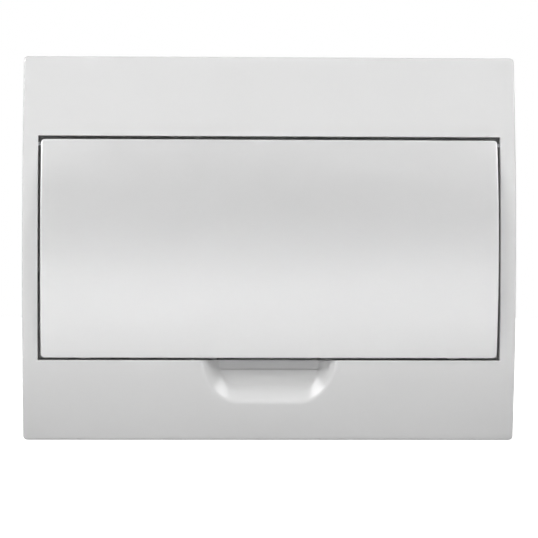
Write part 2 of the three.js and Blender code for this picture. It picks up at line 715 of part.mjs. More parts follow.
function makeBusbar() {
  const spineY = [deviceY(COMB.far), deviceY(COMB.near)];
  const feed = wayX(3, 1); // the leakage breaker's outgoing pole
  const taps = [feed];
  for (let i = 0; i < BREAKERS; i += 1) {
    taps.push(wayX(FIRST_BREAKER_WAY + i, 1));
  }
  const last = taps[taps.length - 1];
  const { toothHalfW, top, foot, toothTip } = COMB;
  const spine = block(feed - toothHalfW, last + toothHalfW, ...spineY, foot, top);
  const pins = taps.map((x) => block(x - toothHalfW, x + toothHalfW, ...spineY, top - 1, toothTip));
  place("busbar_comb", union(spine, ...pins), "copper");

  const { near, far, foot: coverFoot, top: coverTop, past, slack } = COMB_COVER;
  const cover = cut(
    block(feed - past, last + past, deviceY(far), deviceY(near), coverFoot, coverTop),
    block(
      feed - past - 1, last + past + 1, deviceY(COMB.far + slack), deviceY(COMB.near - slack),
      foot - slack, top,
    ),
  );
  place("busbar_cover", cover, "greyInsulator");
}

function makeLabelStrip() {
  const low = FACE.height + GAP;
  const { halfLength, thick } = LABEL;
  const strip = block(-halfLength, halfLength, yAt(low), yAt(low + thick), LABEL.low, LABEL.high);
  place("circuit_label_strip", strip, "paper");
}

makeBackBox();
makeRail();
makeTerminalBar("neutral", 1, "blueInsulator");
makeTerminalBar("earth", -1, "greenInsulator");
makeEarthStud();
makeFrontFrame();
makeDoor();
makeDevices();
makeBlanks();
makeBusbar();
makeLabelStrip();

export default panel;
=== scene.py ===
"""The looks of a flush breaker panel box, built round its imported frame.

The arched front frame and the arched door are rebuilt as fine closed shells with rounded edges. Every
other CAD piece stays, with softened edges and a procedural finish. Shapes are worked out in
millimetres as (x, height above the wall, z) and are turned into metres when a mesh is made.
"""
import json
import math

import bpy
import numpy as np
from mathutils import Matrix, Vector


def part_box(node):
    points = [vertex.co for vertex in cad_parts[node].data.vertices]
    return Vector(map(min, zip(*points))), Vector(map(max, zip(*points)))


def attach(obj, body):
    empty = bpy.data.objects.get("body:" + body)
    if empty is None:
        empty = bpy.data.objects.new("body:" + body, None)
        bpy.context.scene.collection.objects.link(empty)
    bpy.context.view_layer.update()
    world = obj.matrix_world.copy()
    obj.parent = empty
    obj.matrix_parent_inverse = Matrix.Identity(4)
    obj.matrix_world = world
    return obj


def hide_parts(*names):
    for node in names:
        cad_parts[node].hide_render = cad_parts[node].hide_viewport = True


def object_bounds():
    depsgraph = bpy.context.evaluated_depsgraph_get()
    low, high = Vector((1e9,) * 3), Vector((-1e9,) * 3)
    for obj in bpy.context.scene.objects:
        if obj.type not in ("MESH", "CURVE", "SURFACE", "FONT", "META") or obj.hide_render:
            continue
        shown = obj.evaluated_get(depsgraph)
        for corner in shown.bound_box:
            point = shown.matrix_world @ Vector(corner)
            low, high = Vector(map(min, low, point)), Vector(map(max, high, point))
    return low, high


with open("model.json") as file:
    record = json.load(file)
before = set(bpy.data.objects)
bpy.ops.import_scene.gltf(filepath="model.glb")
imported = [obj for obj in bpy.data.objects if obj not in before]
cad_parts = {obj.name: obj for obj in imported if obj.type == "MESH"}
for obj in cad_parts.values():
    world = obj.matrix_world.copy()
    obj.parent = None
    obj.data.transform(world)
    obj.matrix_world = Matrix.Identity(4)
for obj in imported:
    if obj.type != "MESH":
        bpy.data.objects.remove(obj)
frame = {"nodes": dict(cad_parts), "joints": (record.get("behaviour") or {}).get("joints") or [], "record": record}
cad_low, cad_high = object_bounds()

MM = 0.001

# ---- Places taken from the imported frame, in millimetres ----

GAP = 0.3  # left between pieces that touch
frame_low, frame_high = (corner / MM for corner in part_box("front_frame"))
door_low, door_high = (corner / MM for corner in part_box("door"))
WALL_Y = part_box("back_box")[0].y / MM - GAP
FRAME_HALF_W = frame_high.x
FRAME_HALF_H = frame_high.z
FRAME_CROWN = WALL_Y - frame_low.y
DOOR_HALF_W = door_high.x
DOOR_MID = (door_low.z + door_high.z) / 2
DOOR_HALF_H = (door_high.z - door_low.z) / 2
DOOR_CROWN = WALL_Y - door_low.y
HINGE = next(joint for joint in frame["joints"] if joint["name"] == "door_hinge")
HINGE_Y, HINGE_Z = HINGE["pos_m"][1] / MM, HINGE["pos_m"][2] / MM
HINGE_HEIGHT = WALL_Y - HINGE_Y
SCREW_X = (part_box("cover_screw_right")[0].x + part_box("cover_screw_right")[1].x) / 2 / MM

# ---- Sizes of the two mouldings, in millimetres ----

FRAME_EDGE = 7.0  # height of the frame's face at its top and bottom
FRAME_WALL = 2.5
FRAME_CORNER = 2.5
FRAME_CORNER_LEAST = 0.3
FRAME_ROUND = 1.1  # rounding of the outer edge
OPENING_HALF_W = 150.0
OPENING_HALF_H = 72.7
OPENING_CORNER = 0.4
OPENING_ROUND = 0.45
POCKET_WALL = 2.2
PLATE = 6.5  # height of the fixed plate behind the door
PLATE_THICK = 2.5
PLATE_FILLET = 0.4
SLOT_HALF_W = 109.0
SLOT_HALF_H = 23.2
SCOOP = {
    "floor": {"height": 7.5, "half_w": 33.0, "low": -89.0, "flat": 21.0},
    "top": {"height": 20.0, "half_w": 46.5, "low": -116.2, "flat": 17.0},
}
SCOOP_UPPER = -72.7
SCOOP_SKIN = 2.0
SCOOP_LIP = 0.9  # softness of the scoop's edge
SCOOP_FILLET = 2.0
SCOOP_FOOT = 105.0  # rows of the face are close together from the opening to here
SCOOP_REAR_DROP = 5.0  # how far the skin behind the scoop may lie below its floor
REAR_LOWEST = 0.4  # the face's skin stays this far off the wall
NOTCH = {"half_w": 33.0, "low": -78.3, "high": -60.0, "floor": -14.0, "skin": 1.5, "soft": 1.2}
DOOR_CORNER = 2.5
DOOR_CORNER_LEAST = 0.35
DOOR_FACE_CORNER = 0.4  # corner left where the door's face starts
DOOR_ROUND = 0.7
DOOR_WALL = 2.2
DOOR_RIM = 2.0
DOOR_BACK = 15.0  # height of the rim's back edge
DOOR_BACK_INSET = 0.5  # the inner face's grid starts this far inside the rim
RIB = {"x": 50.0, "thick": 1.6, "half_length": 58.0, "depth": 4.0, "steps": 30}
BOSS = {"r": 2.8, "start": 142.0, "bore_start": 142.7}
STOP = {"x": 120.0, "half_w": 4.0, "root": 0.2, "low": 1.0, "high": 4.0, "soft": 0.4}
SCREW_HOLE_R = 2.4
PIN_HOLE_R = 1.55
BEYOND = 1.0  # how far a cutter reaches past what it cuts

# ---- How finely the meshes are divided ----

FINE_HALF_W = 58.0  # columns are close together this far out, for the scoop
CORNER_STEPS = 6
FRAME_LOW_COLUMNS = (150, 16)  # in the middle, and from there to each side
FRAME_HIGH_COLUMNS = (20, 16)
FRAME_ROWS = 44
FRAME_RINGS = {"edge": 6, "outer": 12, "scoop": 58, "lip": 5, "plate": 30, "rear": 40}
DOOR_COLUMNS = (16, 10)
DOOR_ROWS = 56
DOOR_EDGE_RINGS = 7
SHARP_ANGLE = 35  # degrees; edges sharper than this stay crisp or are softened
SHEET_SOFT = 0.15  # edge softening of the folded steel box
PIECE_SOFT = 0.25  # and of every other CAD piece
WELD_DISTANCE = 0.01


def arc_radius(half, sag):
    return (half**2 + sag**2) / (2 * sag)


FRAME_R = arc_radius(FRAME_HALF_H, FRAME_CROWN - FRAME_EDGE)


def frame_height(z):
    return FRAME_CROWN - FRAME_R + np.sqrt(FRAME_R**2 - np.square(z))


DOOR_EDGE = float(frame_height(door_high.z))
DOOR_R = arc_radius(DOOR_HALF_H, DOOR_CROWN - DOOR_EDGE)


def door_height(z, inset=0.0):
    return DOOR_CROWN - DOOR_R + np.sqrt((DOOR_R - inset) ** 2 - np.square(z - DOOR_MID))


# ---- Meshes ----


def smooth_min(a, b, soft):
    mix = np.clip(0.5 + 0.5 * (b - a) / soft, 0, 1)
    return b + (a - b) * mix - soft * mix * (1 - mix)


def smooth_max(a, b, soft):
    return -smooth_min(-a, -b, soft)


def ramp(value, start, end):
    t = np.clip((value - start) / (end - start), 0, 1)
    return t * t * (3 - 2 * t)


def to_metres(points):
    """(x, height, z) in millimetres to Blender's (x, y, z) in metres."""
    x, height, z = np.asarray(points, float).T
    return np.column_stack([x, WALL_Y - height, z]) * MM


def make_mesh(name, vertices, faces):
    mesh = bpy.data.meshes.new(name)
    mesh.from_pydata([tuple(v) for v in vertices], [], [tuple(int(i) for i in f) for f in faces])
    mesh.validate()
    piece = bpy.data.objects.new(name, mesh)
    bpy.context.scene.collection.objects.link(piece)
    finish_normals(mesh)
    return piece


def finish_normals(mesh):
    mesh.shade_smooth()
    mesh.set_sharp_from_angle(angle=math.radians(SHARP_ANGLE))


def face_outwards(piece):
    """Turns a closed mesh's faces to point out of it."""
    mesh = piece.data
    mesh.calc_loop_triangles()
    volume = 0.0
    for triangle in mesh.loop_triangles:
        a, b, c = (mesh.vertices[i].co for i in triangle.vertices)
        volume += a.dot(b.cross(c))
    if volume < 0:
        mesh.flip_normals()


def boolean(piece, operation, tools):
    """Joins or cuts a piece with tools, which are removed afterwards."""
    for tool in tools:
        face_outwards(tool)
        modifier = piece.modifiers.new(operation, "BOOLEAN")
        modifier.operation = operation
        modifier.solver = "EXACT"
        modifier.object = tool
        depsgraph = bpy.context.evaluated_depsgraph_get()
        result = bpy.data.meshes.new_from_object(piece.evaluated_get(depsgraph))
        piece.modifiers.clear()
        piece.data = result
        bpy.data.objects.remove(tool)


class Outline:
    """Rounded rectangles that all have the same number of points, so that rings of them join up.

    Points run anticlockwise seen from the front, from the left end of the lower side."""

    def __init__(self, low_columns, high_columns, rows, fixed):
        self.low_columns = np.asarray(low_columns)
        self.high_columns = np.asarray(high_columns)
        self.rows = np.asarray(rows)
        self.fixed = fixed

    def stretch(self, columns, half):
        """Columns inside the fixed middle stay where they are, and the rest spread out to half."""
        middle = min(self.fixed, half)
        outer = np.abs(columns) - 1
        return np.where(
            np.abs(columns) <= 1,
            columns * middle,
            np.sign(columns) * (middle + outer * (half - middle)),
        )

    def ring(self, half_w, low, high, r):
        x = half_w - r
        turn = np.linspace(0, math.pi / 2, CORNER_STEPS + 1)
        side = low + r + (high - low - 2 * r) * self.rows
        parts = [
            (self.stretch(self.low_columns, x), np.full(len(self.low_columns), low)),
            (x + r * np.sin(turn), low + r - r * np.cos(turn)),
            (np.full(len(side), half_w), side),
            (x + r * np.cos(turn), high - r + r * np.sin(turn)),
            (self.stretch(self.high_columns, x)[::-1], np.full(len(self.high_columns), high)),
            (-x - r * np.sin(turn), high - r + r * np.cos(turn)),
            (np.full(len(side), -half_w), side[::-1]),
            (-x - r * np.cos(turn), low + r - r * np.sin(turn)),
        ]
        return np.concatenate([p[0] for p in parts]), np.concatenate([p[1] for p in parts])


def columns(fine, coarse):
    """Column places: -1 to 1 is the fixed middle, and 1 to 2 is from there to the side."""
    outer = np.linspace(1, 2, coarse + 1)[1:-1]
    middle = np.linspace(-1, 1, fine + 1)
    return np.concatenate([-outer[::-1], middle, outer])


def between_rows(count):
    return np.linspace(0, 1, count + 1)[1:-1]


def ring_faces(ring_count, size, closed):
    last = ring_count if closed else ring_count - 1
    k = np.arange(last)[:, None]
    i = np.arange(size)[None, :]
    a = k * size + i
    b = k * size + (i + 1) % size
    c = ((k + 1) % ring_count) * size + (i + 1) % size
    d = ((k + 1) % ring_count) * size + i
    return np.stack([a, b, c, d], -1).reshape(-1, 4).tolist()


# ---- Front frame ----


def scoop_height(x, z):
    """Height of the scoop's sloped side over each point, found by halving."""
    floor, top = SCOOP["floor"], SCOOP["top"]
    low_t = np.zeros(len(x))
    high_t = np.full(len(x), 3.0)
    depth = np.maximum(SCOOP_UPPER - z, 0)
    for _ in range(36):
        t = (low_t + high_t) / 2
        half_w, low, flat = (
            floor[key] + (top[key] - floor[key]) * t for key in ("half_w", "low", "flat")
        )
        flat = np.maximum(flat, 1)
        across = np.maximum(np.abs(x) - flat, 0) / (half_w - flat)
        inside = across**2 + (depth / (SCOOP_UPPER - low)) ** 2 <= 1
        high_t = np.where(inside, t, high_t)
        low_t = np.where(inside, low_t, t)
    return floor["height"] + (top["height"] - floor["height"]) * high_t


def notch_share(x, z):
    """1 inside the finger room behind the door's lower edge, and 0 outside it."""
    soft = NOTCH["soft"]
    return (
        ramp(NOTCH["half_w"] - np.abs(x), -soft / 2, soft / 2)
        * ramp(z - NOTCH["low"], -soft / 2, soft / 2)
        * ramp(NOTCH["high"] - z, -soft / 2, soft / 2)
    )


def scoop_surface(x, z):
    """The scoop: sloped sides that run into a floor, which drops towards the door."""
    floor = SCOOP["floor"]["height"]
    share = notch_share(x, z)
    base = floor + (NOTCH["floor"] - floor) * share
    return smooth_max(scoop_height(x, z) - 0.05, base, SCOOP_FILLET * (1 - share) + 0.01)


def face_surface(x, z):
    face = frame_height(z)
    near = (np.abs(x) < FINE_HALF_W) & (z < SCOOP_UPPER + 1)
    surface = face.copy()
    surface[near] = smooth_min(face[near], scoop_surface(x[near], z[near]), SCOOP_LIP)
    return surface


def plate_surface(x, z):
    return PLATE + (NOTCH["floor"] - PLATE) * notch_share(x, z)


def round_the_notch(back, x, z):
    """A rear surface, sunk so that it holds the finger room's walls and floor."""
    skin = NOTCH["skin"]
    share = (
        ramp(NOTCH["half_w"] + skin - np.abs(x), -0.5, 0.5)
        * ramp(z - NOTCH["low"] + skin, -0.5, 0.5)
        * ramp(NOTCH["high"] + skin - z, -0.5, 0.5)
    )
    return back + (NOTCH["floor"] - skin - back) * share


def plate_rear(x, z):
    return round_the_notch(np.full(len(x), PLATE - PLATE_THICK), x, z)


def skin_rear(x, z):
    face = frame_height(z)
    near = (np.abs(x) < FINE_HALF_W) & (z < SCOOP_UPPER + 1)
    face[near] = np.minimum(face[near], scoop_height(x[near], z[near]))
    floor = SCOOP["floor"]["height"] - SCOOP_SKIN
    back = np.minimum(frame_height(z) - FRAME_WALL, face - SCOOP_SKIN)
    back = np.maximum(back, floor - SCOOP_REAR_DROP)
    return round_the_notch(np.maximum(back, REAR_LOWEST), x, z)


def front_frame_rings(outline):
    """The frame's whole skin as rings: up its side, over its face, into the pocket and back behind."""
    rings = []

    def add(half_w, low, high, r, height):
        x, z = outline.ring(half_w, low, high, r)
        rings.append((x, height(x, z), z))

    def inset_ring(inset, height):
        corner = max(FRAME_CORNER - inset, FRAME_CORNER_LEAST)
        add(FRAME_HALF_W - inset, inset - FRAME_HALF_H, FRAME_HALF_H - inset, corner, height)

    def opening_ring(outset, height):
        reach = OPENING_HALF_H + outset
        add(OPENING_HALF_W + outset, -reach, reach, OPENING_CORNER + max(outset, 0) * 0.2, height)

    def level(value):
        return lambda x, z: np.full(len(x), float(value))

    inset_ring(0, level(0))
    for angle in np.linspace(0, math.pi / 2, FRAME_RINGS["edge"]):
        drop = FRAME_ROUND * (1 - math.sin(angle))
        inset_ring(FRAME_ROUND * (1 - math.cos(angle)), lambda x, z: frame_height(z) - drop)

    # Rings are close together over the scoop, and spread out towards the outer edge.
    start = FRAME_HALF_H - FRAME_ROUND
    end = OPENING_HALF_H + OPENING_ROUND
    outer = np.linspace(start, SCOOP_FOOT, FRAME_RINGS["outer"])[1:]
    inner = np.linspace(SCOOP_FOOT, end, FRAME_RINGS["scoop"])[1:]
    levels = np.concatenate([outer, inner])
    for reach in levels:
        t = (start - reach) / (start - end)
        half_w = (FRAME_HALF_W - FRAME_ROUND) * (1 - t) + (OPENING_HALF_W + OPENING_ROUND) * t
        corner = (FRAME_CORNER - FRAME_ROUND) * (1 - t) + OPENING_CORNER * t
        add(half_w, -reach, reach, corner, face_surface)

    def lip(x, z):
        return OPENING_ROUND * ramp(face_surface(x, z) - plate_surface(x, z), 0, 3)

    for angle in np.linspace(0, math.pi / 2, FRAME_RINGS["lip"])[1:]:
        fall = 1 - math.cos(angle)
        opening_ring(
            OPENING_ROUND * (1 - math.sin(angle)),
            lambda x, z: face_surface(x, z) - lip(x, z) * fall,
        )
    opening_ring(
        0,
        lambda x, z: np.minimum(
            plate_surface(x, z) + PLATE_FILLET, face_surface(x, z) - lip(x, z) - 0.01
        ),
    )
    pocket_foot_w = OPENING_HALF_W - PLATE_FILLET
    pocket_foot_h = OPENING_HALF_H - PLATE_FILLET
    plate_steps = np.linspace(0, 1, FRAME_RINGS["plate"]) ** 1.3
    for t in plate_steps:
        half_w = pocket_foot_w + (SLOT_HALF_W - pocket_foot_w) * t
        reach = pocket_foot_h + (SLOT_HALF_H - pocket_foot_h) * t
        add(half_w, -reach, reach, OPENING_CORNER, plate_surface)
    wall_w = OPENING_HALF_W + POCKET_WALL
    wall_h = OPENING_HALF_H + POCKET_WALL
    for t in plate_steps[::-1]:
        half_w = wall_w + (SLOT_HALF_W - wall_w) * t
        reach = wall_h + (SLOT_HALF_H - wall_h) * t
        add(half_w, -reach, reach, OPENING_CORNER, plate_rear)
    rim_w = FRAME_HALF_W - FRAME_WALL
    rim_h = FRAME_HALF_H - FRAME_WALL
    for t in np.linspace(0, 1, FRAME_RINGS["rear"]) ** 1.2:
        half_w = wall_w + (rim_w - wall_w) * t
        reach = wall_h + (rim_h - wall_h) * t
        add(half_w, -reach, reach, OPENING_CORNER, skin_rear)
    add(rim_w, -rim_h, rim_h, OPENING_CORNER, level(0))
    return rings


def rod_mesh(name, axis, r, start, end, centre, sides=40):
    """A closed cylinder between two places along an axis; centre gives its other two coordinates."""
    turn = np.linspace(0, 2 * math.pi, sides, endpoint=False)
    vertices = []
    for place in (start, end):
        for u, v in zip(centre[0] + r * np.cos(turn), centre[1] + r * np.sin(turn)):
            vertices.append((place, u, v) if axis == "x" else (u, place, v))
    faces = ring_faces(2, sides, False)
    faces.append(list(range(sides))[::-1])
    faces.append(list(range(sides, 2 * sides)))
    return make_mesh(name, to_metres(vertices), faces)


def build_front_frame():
    fine = columns(*FRAME_LOW_COLUMNS)
    plain = columns(*FRAME_HIGH_COLUMNS)
    outline = Outline(fine, plain, between_rows(FRAME_ROWS), FINE_HALF_W)
    rings = front_frame_rings(outline)
    points = np.concatenate([np.column_stack(ring) for ring in rings])
    faces = ring_faces(len(rings), len(rings[0][0]), True)
    piece = make_mesh("front_frame_shell", to_metres(points), faces)
    face_outwards(piece)
    holes = []
    for side in (-1, 1):
        place = (side * SCREW_X, 0)
        holes.append(rod_mesh("screw_hole", "y", SCREW_HOLE_R, -BEYOND, PLATE + BEYOND, place))
        inner = OPENING_HALF_W - BEYOND
        outer = OPENING_HALF_W + POCKET_WALL + BEYOND
        ends = sorted((side * inner, side * outer))
        holes.append(rod_mesh("pin_hole", "x", PIN_HOLE_R, *ends, (HINGE_HEIGHT, HINGE_Z)))
    boolean(piece, "DIFFERENCE", holes)
    finish_normals(piece.data)
    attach(piece, "box")
    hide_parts("front_frame")
    piece.data.materials.clear()
    piece.data.materials.append(MATERIALS["frame_plastic"])

    # The two stops that the door's rim rests on.
    for side, word in ((-1, "left"), (1, "right")):
        stop = softened_block(
            "door_stop_" + word,
            (side * STOP["x"] - STOP["half_w"], PLATE - STOP["root"], STOP["low"] - OPENING_HALF_H),
            (side * STOP["x"] + STOP["half_w"], DOOR_BACK - GAP, STOP["high"] - OPENING_HALF_H),
            STOP["soft"],
        )
        dress(stop, "box", "frame_plastic")


def softened_block(name, low, high, soft):
    """A moulded block with rounded edges, between two (x, height, z) corners."""
    corners = [(x, h, z) for x in (low[0], high[0]) for h in (low[1], high[1]) for z in (low[2], high[2])]
    faces = [(0, 1, 3, 2), (4, 6, 7, 5), (0, 4, 5, 1), (2, 3, 7, 6), (0, 2, 6, 4), (1, 5, 7, 3)]
    piece = make_mesh(name, to_metres(corners), faces)
    face_outwards(piece)
    soften(piece, soft, 3)
    return piece


def soften(piece, width, segments=2):
    bevel = piece.modifiers.new("soft_edges", "BEVEL")
    bevel.width = width * MM
    bevel.segments = segments
    bevel.limit_method = "ANGLE"
    bevel.angle_limit = math.radians(SHARP_ANGLE)
    bevel.harden_normals = True


def dress(piece, body, slot):
    """A new piece's body, record slot and material."""
    piece.data.materials.clear()
    piece.data.materials.append(MATERIALS[slot])
    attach(piece, body)


# ---- Door ----


def grid_faces(columns_count, rows_count, start):
    faces = []
    for j in range(rows_count - 1):
        for i in range(columns_count - 1):
            a = start + j * columns_count + i
            faces.append([a, a + 1, a + 1 + columns_count, a + columns_count])
    return faces


def border_of_grid(columns_count, rows_count, start, arc_points):
    """For each point of a ring, the grid vertex that it joins; corner arcs share one vertex each."""
    last_row = start + (rows_count - 1) * columns_count
    low = [start + i for i in range(1, columns_count - 1)]
    right = [start + j * columns_count + columns_count - 1 for j in range(1, rows_count - 1)]
    high = [last_row + i for i in range(columns_count - 2, 0, -1)]
    left = [start + j * columns_count for j in range(rows_count - 2, 0, -1)]
    return (
        low
        + [start + columns_count - 1] * arc_points
        + right
        + [last_row + columns_count - 1] * arc_points
        + high
        + [last_row] * arc_points
        + left
        + [start] * arc_points
    )


def cap(outline, ring_start, inset, height, start, flip):
    """A grid that fills a ring of the door, as (points, faces)."""
    half_w = DOOR_HALF_W - inset
    low, high = DOOR_MID - DOOR_HALF_H + inset, DOOR_MID + DOOR_HALF_H - inset
    xs = np.concatenate([[-half_w], outline.stretch(outline.low_columns, half_w), [half_w]])
    zs = np.concatenate([[low], low + (high - low) * outline.rows, [high]])
    points = [(x, float(height(z)), z) for z in zs for x in xs]
    faces = grid_faces(len(xs), len(zs), start)
    border = border_of_grid(len(xs), len(zs), start, CORNER_STEPS + 1)
    count = len(border)
    for i in range(count):
        j = (i + 1) % count
        quad = [ring_start + i, ring_start + j, border[j], border[i]]
        faces.append(quad if border[i] != border[j] else quad[:3])
    if flip:
        faces = [f[::-1] for f in faces]
    return points, faces


def build_door():
    across = columns(*DOOR_COLUMNS)
    outline = Outline(across, across, between_rows(DOOR_ROWS), FINE_HALF_W)
    low, high = DOOR_MID - DOOR_HALF_H, DOOR_MID + DOOR_HALF_H
    rings = []

    def add(inset, height):
        corner = max(DOOR_CORNER - inset, DOOR_CORNER_LEAST)
        x, z = outline.ring(DOOR_HALF_W - inset, low + inset, high - inset, corner)
        rings.append((x, height(z), z))

    add(DOOR_CORNER - DOOR_FACE_CORNER, door_height)
    for angle in np.linspace(math.pi / 2, 0, DOOR_EDGE_RINGS):
        drop = DOOR_ROUND * (1 - math.sin(angle))
        add(DOOR_ROUND * (1 - math.cos(angle)), lambda z: door_height(z) - drop)
    for inset in (0, DOOR_RIM):
        add(inset, lambda z: np.full(len(z), DOOR_BACK))
    add(DOOR_RIM, lambda z: door_height(z, DOOR_WALL))
    points = np.concatenate([np.column_stack(ring) for ring in rings]).tolist()
    size = len(rings[0][0])
    faces = [f[::-1] for f in ring_faces(len(rings), size, False)]
    front, front_faces = cap(outline, 0, DOOR_CORNER, door_height, len(points), False)
    points += front
    faces += front_faces
    back_ring = (len(rings) - 1) * size
    inner = DOOR_RIM + DOOR_BACK_INSET
    back, back_faces = cap(
        outline, back_ring, inner, lambda z: door_height(z, DOOR_WALL), len(points), True
    )
    points += back
    faces += back_faces
    piece = make_mesh("door_shell", to_metres(points), faces)
    face_outwards(piece)
    boolean(piece, "UNION", [door_rib(-1), door_rib(1), hinge_boss(-1), hinge_boss(1)])
    bores = []
    for side in (-1, 1):
        ends = sorted((side * BOSS["bore_start"], side * (DOOR_HALF_W + BEYOND)))
        bores.append(rod_mesh("bore", "x", PIN_HOLE_R, *ends, (HINGE_HEIGHT, HINGE_Z)))
    boolean(piece, "DIFFERENCE", bores)
    finish_normals(piece.data)
    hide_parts("door")
    dress(piece, "door", "door_plastic")


def door_rib(side):
    """A stiffening rib that follows the door's inner face."""
    thick, steps = RIB["thick"], RIB["steps"]
    middle = side * RIB["x"]
    zs = np.linspace(-RIB["half_length"], RIB["half_length"], steps)
    top = door_height(zs, DOOR_WALL / 2)
    foot = np.maximum(door_height(zs, DOOR_WALL + RIB["depth"]), DOOR_BACK + 0.1)
    vertices = []
    for z, upper, lower in zip(zs, top, foot):
        for x in (middle - thick / 2, middle + thick / 2):
            vertices += [(x, lower, z), (x, upper, z)]
    faces = [(0, 1, 3, 2)]
    for k in range(steps - 1):
        a = 4 * k
        for p, q in ((0, 1), (1, 3), (3, 2), (2, 0)):
            faces.append((a + q, a + p, a + 4 + p, a + 4 + q))
    end = 4 * (steps - 1)
    faces.append((end + 2, end + 3, end + 1, end))
    return make_mesh("rib", to_metres(vertices), faces)


def hinge_boss(side):
    ends = sorted((side * BOSS["start"], side * (DOOR_HALF_W - 1)))
    return rod_mesh("boss", "x", BOSS["r"], *ends, (HINGE_HEIGHT, HINGE_Z))


# ---- Materials ----

FRAME_COLOUR = (0.74, 0.74, 0.74)
DOOR_COLOUR = (0.94, 0.94, 0.94)
WAY = 18.0  # width of one module on the rail
PRINTED_LINE = 0.25


class Nodes:
    """A material with a principled shader, and short ways to add what drives it."""

    def __init__(self, name):
        self.material = bpy.data.materials.new(name)
        self.material.use_nodes = True
        self.tree = self.material.node_tree
        self.shader = self.tree.nodes["Principled BSDF"]
        self.place = self.add("ShaderNodeTexCoord").outputs["Object"]

    def add(self, kind, **values):
        node = self.tree.nodes.new(kind)
        for key, value in values.items():
            setattr(node, key, value)
        return node

    def link(self, output, target):
        self.tree.links.new(output, target)

    def noise(self, scale, detail=3, stretch=(1, 1, 1)):
        mapping = self.add("ShaderNodeMapping")
        mapping.inputs["Scale"].default_value = stretch
        self.link(self.place, mapping.inputs["Vector"])
        noise = self.add("ShaderNodeTexNoise")
        noise.inputs["Scale"].default_value = scale
        noise.inputs["Detail"].default_value = detail
        self.link(mapping.outputs["Vector"], noise.inputs["Vector"])
        return noise.outputs["Fac"]

    def colour_between(self, factor, first, second):
        stops = self.add("ShaderNodeValToRGB")
        stops.color_ramp.elements[0].position = 0.35
        stops.color_ramp.elements[1].position = 0.65
        stops.color_ramp.elements[0].color = (*first, 1)
        stops.color_ramp.elements[1].color = (*second, 1)
        self.link(factor, stops.inputs["Fac"])
        self.link(stops.outputs["Color"], self.shader.inputs["Base Color"])

    def roughness_between(self, factor, low, high):
        spread = self.add("ShaderNodeMapRange")
        spread.inputs["From Min"].default_value = 0.3
        spread.inputs["From Max"].default_value = 0.7
        spread.inputs["To Min"].default_value = low
        spread.inputs["To Max"].default_value = high
        self.link(factor, spread.inputs["Value"])
        self.link(spread.outputs["Result"], self.shader.inputs["Roughness"])

    def bump(self, factor, strength, distance):
        bump = self.add("ShaderNodeBump")
        bump.inputs["Strength"].default_value = strength
        bump.inputs["Distance"].default_value = distance * MM
        self.link(factor, bump.inputs["Height"])
        self.link(bump.outputs["Normal"], self.shader.inputs["Normal"])


def shade(colour, by):
    return tuple(min(1.0, c * by) for c in colour)


def moulded(name, colour, roughness, grain, metallic=0.0):
    """Moulded plastic: faint cloudiness, uneven gloss and a fine surface grain."""
    nodes = Nodes(name)
    cloud = nodes.noise(14)
    nodes.colour_between(cloud, shade(colour, 0.996), shade(colour, 1.004))
    nodes.roughness_between(nodes.noise(60), roughness - 0.012, roughness + 0.012)
    nodes.bump(nodes.noise(2600, 2), 0.12, grain)
    nodes.shader.inputs["Metallic"].default_value = metallic
    return nodes.material


def powder_coat(name, colour):
    """Powder coat: orange peel and slight wear in its gloss."""
    nodes = Nodes(name)
    nodes.colour_between(nodes.noise(9), shade(colour, 0.96), shade(colour, 1.03))
    nodes.roughness_between(nodes.noise(45), 0.42, 0.56)
    nodes.bump(nodes.noise(1100, 2), 0.35, 0.05)
    return nodes.material


def plated(name, colour, roughness, stretch):
    """Plated or drawn metal, with fine lines along the way it was worked."""
    nodes = Nodes(name)
    lines = nodes.noise(900, 4, stretch)
    nodes.colour_between(nodes.noise(70), shade(colour, 0.88), shade(colour, 1.08))
    nodes.roughness_between(lines, roughness - 0.07, roughness + 0.1)
    nodes.bump(lines, 0.15, 0.02)
    nodes.shader.inputs["Metallic"].default_value = 1.0
    return nodes.material


def printed_paper(name, colour):
    """Uncoated card with a thin printed line between one way and the next."""
    nodes = Nodes(name)
    apart = nodes.add("ShaderNodeSeparateXYZ")
    nodes.link(nodes.place, apart.inputs["Vector"])
    phase = nodes.add("ShaderNodeMath", operation="PINGPONG")
    phase.inputs[1].default_value = WAY * MM / 2
    nodes.link(apart.outputs["X"], phase.inputs[0])
    line = nodes.add("ShaderNodeMath", operation="LESS_THAN")
    line.inputs[1].default_value = PRINTED_LINE * MM
    nodes.link(phase.outputs["Value"], line.inputs[0])
    nodes.colour_between(line.outputs["Value"], colour, (0.25, 0.25, 0.27))
    nodes.roughness_between(nodes.noise(500), 0.75, 0.9)
    nodes.bump(nodes.noise(1800, 5, (1, 1, 3)), 0.3, 0.03)
    return nodes.material


def make_materials():
    colours = {m["slot"]: tuple(m["base_color"][:3]) for m in frame["record"]["materials"]}
    made = {
        "frame_plastic": moulded("frame_plastic", FRAME_COLOUR, 0.25, 0.004),
        "door_plastic": moulded("door_plastic", DOOR_COLOUR, 0.5, 0.008, 0.8),
        "box_steel": powder_coat("box_steel", colours["box_steel"]),
        "zinc_steel": plated("zinc_steel", colours["zinc_steel"], 0.34, (0.1, 1, 1)),
        "bar_brass": plated("bar_brass", colours["bar_brass"], 0.3, (0.05, 1, 1)),
        "comb_copper": plated("comb_copper", colours["comb_copper"], 0.32, (0.05, 1, 1)),
        "label_paper": printed_paper("label_paper", colours["label_paper"]),
    }
    for slot in colours:
        if slot not in made:
            made[slot] = moulded(slot, colours[slot], 0.42, 0.02)
    return made


